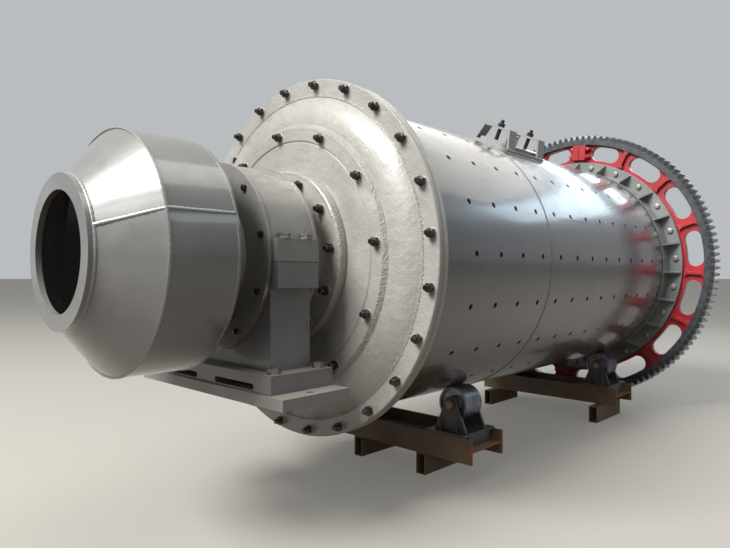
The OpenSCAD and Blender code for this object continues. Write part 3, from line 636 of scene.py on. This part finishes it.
bolt_ring("feed_flange_nuts", M24, FLANGE_BOLTS, FLANGE_BOLT_FROM, 0.0, FLANGE_BOLT_R, -1, DARK_BOLT,
          washers=WASHER)
bolt_ring("front_flange_bolt_heads", M24_HEAD, FLANGE_BOLTS, FLANGE_BOLT_FROM, HEAD_FLANGE + FRONT_FLANGE,
          FLANGE_BOLT_R, 1, DARK_BOLT)
bolt_ring("feed_face_nuts", M24, FACE_BOLTS, FACE_BOLT_FROM, -FACE_H, FACE_BOLT_R, -1, DARK_BOLT,
          washers=WASHER)
bolt_ring("feed_trunnion_nuts", M24, FACE_BOLTS, TRUNNION_BOLT_FROM, -FACE_H - TRUNNION_FLANGE,
          TRUNNION_BOLT_R, -1, DARK_BOLT, washers=WASHER)

# Bolts on the gear end
BETWEEN_GUSSETS = GUSSET_FROM + 180 / FLANGE_BOLTS
bolt_ring("rear_flange_bolt_heads", M24_HEAD, FLANGE_BOLTS, BETWEEN_GUSSETS, SHELL_END - REAR_FLANGE,
          FLANGE_BOLT_R, -1, GREY_BOLT)
bolt_ring("discharge_flange_nuts", M24, FLANGE_BOLTS, BETWEEN_GUSSETS, FAR_FACE, FLANGE_BOLT_R, 1, DARK_BOLT,
          washers=WASHER)
bolt_ring("discharge_face_nuts", M24, FACE_BOLTS, FACE_BOLT_FROM, FAR_FACE + FACE_H, FACE_BOLT_R, 1,
          DARK_BOLT, washers=WASHER)
bolt_ring("discharge_trunnion_nuts", M24, FACE_BOLTS, TRUNNION_BOLT_FROM,
          FAR_FACE + FACE_H + TRUNNION_FLANGE, TRUNNION_BOLT_R, 1, DARK_BOLT, washers=WASHER)


def bearing_bolts(end, centre, outer):
    """Cover screws, lug bolts and foot bolts of one bearing. Outer is the side away from the drum."""
    reach = HOUSING_W / 2 + COVER_T
    for side, word in ((outer, "outer"), (-outer, "inner")):
        matrices = [aim(place(COVER_SCREW_FROM + 360 / COVER_SCREWS * k, centre + side * reach, COVER_BOLT_R),
                        (side, 0, 0), spin_of(k)) for k in range(COVER_SCREWS)]
        array(f"{end}_{word}_cover_screws", M16_HEAD, matrices, DARK_BOLT, "stands", "axle")
    x = STATION_ZERO + centre
    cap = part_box(f"{end}_bearing_cap")
    lug_top = cap[0].z + CAP_LUG_H
    half = (cap[1].x - cap[0].x) / 2 - LUG_INSET + JOINT_LINE_PROUD
    joint = cap[0].z
    for side, word in ((-1, "near"), (1, "far")):
        low, high = sorted((side * (cap[1].y + JOINT_LINE_PROUD), side * (LUG_Y - 0.02)))
        loops = [[(x - half, low, z), (x + half, low, z), (x + half, high, z), (x - half, high, z)]
                 for z in (joint - JOINT_LINE_HALF, joint + JOINT_LINE_HALF)]
        solid(f"{end}_{word}_joint_line", *stack(loops), DARK_BOLT, "stands", "bearing")
    lugs = [aim((x + dx, dy, lug_top), (0, 0, 1), spin_of(k))
            for k, (dx, dy) in enumerate((dx, dy) for dx in (-LUG_BOLT_X, LUG_BOLT_X)
                                         for dy in (-LUG_Y, LUG_Y))]
    array(f"{end}_lug_bolts", M30_HEAD, lugs, ZINC_BOLT, "stands", "axle")
    feet = [aim((x + dx, dy, AXIS_Z - FOOT_DROP), (0, 0, 1), spin_of(k))
            for k, (dx, dy) in enumerate((dx, dy) for dx in (-FOOT_BOLT_X, FOOT_BOLT_X)
                                         for dy in (-FOOT_BOLT_Y, FOOT_BOLT_Y))]
    array(f"{end}_foot_bolts", M30_HEAD, feet, ZINC_BOLT, "stands", "axle")


bearing_bolts("feed", -BEARING_AT, -1)
bearing_bolts("discharge", FAR_FACE + BEARING_AT, 1)

# Weld beads, and the studs and nuts over the manhole

feeder_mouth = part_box("feeder_mouth_ring")
feeder_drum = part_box("feeder_drum")
feeder_r = feeder_drum[1].z - AXIS_Z
mouth_r = feeder_mouth[1].z - AXIS_Z
mouth_back = feeder_mouth[1].x - STATION_ZERO
drum_front = feeder_drum[0].x - STATION_ZERO
drum_back = feeder_drum[1].x - STATION_ZERO
ring_bead("mouth_bead", mouth_back, mouth_r, 0.007, WELD, -0.6, slot="feeder")
ring_bead("cone_bead", drum_front, feeder_r, 0.006, WELD, slot="feeder")
ring_bead("feeder_back_bead", drum_back, feeder_r, 0.003, WELD, slot="feeder")
for name, angle, size in (("feeder_seam", 162.5, 0.007), ("far_feeder_seam", 342.5, 0.007)):
    up = outward(angle)
    weld(name, [straight_bead(place(angle, mouth_back, mouth_r), place(angle, drum_front, feeder_r), size,
                              up + Vector((-1, 0, 0))),
                straight_bead(place(angle, drum_front, feeder_r), place(angle, drum_back, feeder_r), size,
                              up)],
         WELD, "drum", "feeder")

ring_bead("bulge_bead", 0.0, BULGE_FOOT, 0.0045, CAST, -1.0)
ring_bead("course_bead", COURSE_JOINT, SHELL_R, 0.006, SHELL_WELD)
flange_face = SHELL_END - REAR_FLANGE
band_r = SHELL_R + BAND_T
ring_bead("band_bead", flange_face - BAND_LEN, SHELL_R + BAND_T / 2, 0.006, SHELL_WELD)
gusset_beads = []
for k in range(FLANGE_BOLTS):
    for side in (-1, 1):
        angle = GUSSET_FROM + k * 360 / FLANGE_BOLTS + side * math.degrees(GUSSET_T / 2 / band_r)
        up = outward(angle)
        across = outward(angle + 90 * side)
        gusset_beads.append(straight_bead(place(angle, flange_face - BAND_LEN + 0.006, band_r),
                                          place(angle, flange_face, band_r), GUSSET_BEAD, up + across))
        gusset_beads.append(straight_bead(place(angle, flange_face, band_r),
                                          place(angle, flange_face, band_r + GUSSET_H), GUSSET_BEAD,
                                          across + Vector((-1, 0, 0))))
weld("gusset_beads", gusset_beads, SHELL_WELD, "drum", "shell")


def manhole_point(along, across, radius):
    """A point over the manhole: along the shell and across it from the manhole's middle."""
    return place(MANHOLE_ANGLE + math.degrees(math.asin(across / radius)), MANHOLE_AT + along, radius)


def rounded_loop(length, width, corner, step):
    """Points round a rectangle with round corners, and the outward direction at each."""
    points = []
    for cx, cy, start in ((1, 1, 0), (-1, 1, 90), (-1, -1, 180), (1, -1, 270)):
        for k in range(7):
            a = math.radians(start + 15 * k)
            points.append((cx * (length / 2 - corner) + corner * math.cos(a),
                           cy * (width / 2 - corner) + corner * math.sin(a)))
    loop = []
    for (x0, y0), (x1, y1) in zip(points, points[1:] + points[:1]):
        count = max(int(math.hypot(x1 - x0, y1 - y0) / step), 1)
        loop += [(x0 + (x1 - x0) * i / count, y0 + (y1 - y0) * i / count) for i in range(count)]
    return loop


rim_loop = rounded_loop(MANHOLE_LEN, MANHOLE_W, MANHOLE_CORNER, BEAD_STEP)
weld("manhole_bead", [bead([manhole_point(x, y, SHELL_R + 0.001) for x, y in rim_loop], True, 0.006,
                           [outward(MANHOLE_ANGLE) for _ in rim_loop])], MANHOLE, "drum", "shell")
cover_top = SHELL_R + 2 * MANHOLE_T
bridge_top = SHELL_R + MANHOLE_T + BRIDGE_H
shaft = stack([circle(MANHOLE_STUD_R, 0, 16), circle(MANHOLE_STUD_R, bridge_top - cover_top, 16)])
over_bridges = [MANHOLE_AT + side * BRIDGE_GAP / 2 for side in (-1, 1)]
array("manhole_studs", shaft, [aim(place(MANHOLE_ANGLE, s, cover_top), outward(MANHOLE_ANGLE))
                               for s in over_bridges], DARK_BOLT, "drum", "axle")
array("manhole_nuts", M24, [aim(place(MANHOLE_ANGLE, s, bridge_top), outward(MANHOLE_ANGLE), 0.4)
                            for s in over_bridges], DARK_BOLT, "drum", "axle")

# Bolts through the lugs of the ring gear's joints

lug_matrices = []
for joint in (GEAR_JOINT_ANGLE, GEAR_JOINT_ANGLE + 180):
    for side in (-1, 1):
        across = outward(joint + 90 * side)
        for radius in GEAR_BOLT_RADII:
            at = place(joint, SHELL_END - GEAR_LUG_H / 2, radius) + across * GEAR_LUG_HALF
            lug_matrices.append(aim(at, across, spin_of(len(lug_matrices))))
array("gear_joint_bolts", stud_and_nut(0.020, 0.014), lug_matrices, RED_BOLT, "drum", "gear")

# Ends of the roller axles: a machined ring round the centre hole

axle_end = stack([circle(0.019, 0, 24), circle(0.019, 0.0012, 24), circle(0.018, 0.002, 24)])
for stand in ("front", "rear"):
    for side in ("near", "far"):
        low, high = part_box(f"{stand}_{side}_axle")
        centre = (low + high) / 2
        ends = [aim((low.x, centre.y, centre.z), (-1, 0, 0)), aim((high.x, centre.y, centre.z), (1, 0, 0))]
        array(f"{stand}_{side}_axle_ends", axle_end, ends, AXLE_CENTRE, "stands", "axle")

# Light, floor and camera

def area_light(name, place_at, look_at, width, height, radiance, colour=(1.0, 1.0, 1.0)):
    light = bpy.data.lights.new(name, "AREA")
    light.shape = "RECTANGLE"
    light.size = width
    light.size_y = height
    light.energy = radiance * width * height * math.pi
    light.color = colour
    obj = bpy.data.objects.new(name, light)
    bpy.context.scene.collection.objects.link(obj)
    obj.location = place_at
    obj.rotation_euler = (Vector(look_at) - Vector(place_at)).to_track_quat("-Z", "Y").to_euler()


area_light("key_window", (-11.2, 1.4, 11.2), (-1.2, 0, 1.3), 8.0, 4.0, 36.0, (1.0, 0.985, 0.96))
area_light("roof_light", (-0.6, -1.6, 7.6), (-0.8, -0.2, 1.2), 6.0, 3.2, 2.8, (1.0, 0.985, 0.95))
area_light("front_window", (-9.0, -1.5, 5.3), (-2.0, -0.1, 1.2), 5.0, 1.2, 6.5)
area_light("far_window", (9.0, -0.8, 5.2), (0, -0.5, 1.4), 8.8, 1.4, 4.0, (0.7, 0.87, 1.0))
area_light("far_skylight", (8.6, 0.8, 8.0), (0, 0, 1.4), 12.0, 2.8, 1.5, (1.0, 0.94, 0.86))
area_light("side_window", (2.2, -6.2, 5.2), (-2.1, -0.3, 1.3), 1.6, 1.0, 3.6, (0.74, 0.89, 1.0))


def seen_ray(nodes, links):
    """1 for what the camera sees, also in a mirror or through glass."""
    rays = nodes.new("ShaderNodeLightPath")
    seen = rays.outputs["Is Camera Ray"]
    for kind in ("Is Glossy Ray", "Is Transmission Ray"):
        either = nodes.new("ShaderNodeMath")
        either.operation = "MAXIMUM"
        links.new(seen, either.inputs[0])
        links.new(rays.outputs[kind], either.inputs[1])
        seen = either.outputs[0]
    return seen


world = bpy.data.worlds.new("studio")
bpy.context.scene.world = world
world.use_nodes = True
world_nodes = world.node_tree.nodes
world_links = world.node_tree.links
background = world_nodes["Background"]
background.inputs["Color"].default_value = srgb(206, 212, 220)
background.inputs["Strength"].default_value = 0.33
backdrop = world_nodes.new("ShaderNodeBackground")
backdrop.inputs["Color"].default_value = srgb(208, 211, 214)
backdrop.inputs["Strength"].default_value = 0.78
mix = world_nodes.new("ShaderNodeMixShader")
world_links.new(seen_ray(world_nodes, world_links), mix.inputs[0])
world_links.new(background.outputs[0], mix.inputs[1])
world_links.new(backdrop.outputs[0], mix.inputs[2])
world_links.new(mix.outputs[0], world_nodes["World Output"].inputs["Surface"])

floor_mesh = bpy.data.meshes.new("floor")
floor_mesh.from_pydata([(-FLOOR_REACH, -FLOOR_REACH, 0), (FLOOR_REACH, -FLOOR_REACH, 0),
                        (FLOOR_REACH, FLOOR_REACH, 0), (-FLOOR_REACH, FLOOR_REACH, 0)], [], [(0, 1, 2, 3)])
floor = bpy.data.objects.new("floor", floor_mesh)
bpy.context.scene.collection.objects.link(floor)
floor_finish = Finish("studio_floor", 0.85)
floor_seen = seen_ray(floor_finish.nodes, floor_finish.links)
floor_finish.over(floor_seen, srgb(152, 148, 141), srgb(76, 66, 56))
floor_finish.shader.inputs["Emission Color"].default_value = srgb(216, 212, 204)
floor_finish.links.new(floor_finish.ranged(floor_seen, 0.0, 1.0, 0.0, 0.2),
                       floor_finish.shader.inputs["Emission Strength"])
floor_mesh.materials.append(floor_finish.done())

camera_data = bpy.data.cameras.new("camera")
camera_data.sensor_width = 36.0
camera_data.lens = 29.30
camera = bpy.data.objects.new("camera", camera_data)
bpy.context.scene.collection.objects.link(camera)
camera.location = (STATION_ZERO - 1.854, -2.232, AXIS_Z - 0.077)
camera.rotation_euler = (math.radians(90.02), 0.0, math.radians(43.88 - 90.0))
bpy.context.scene.camera = camera
bpy.context.scene.view_settings.view_transform = "Standard"
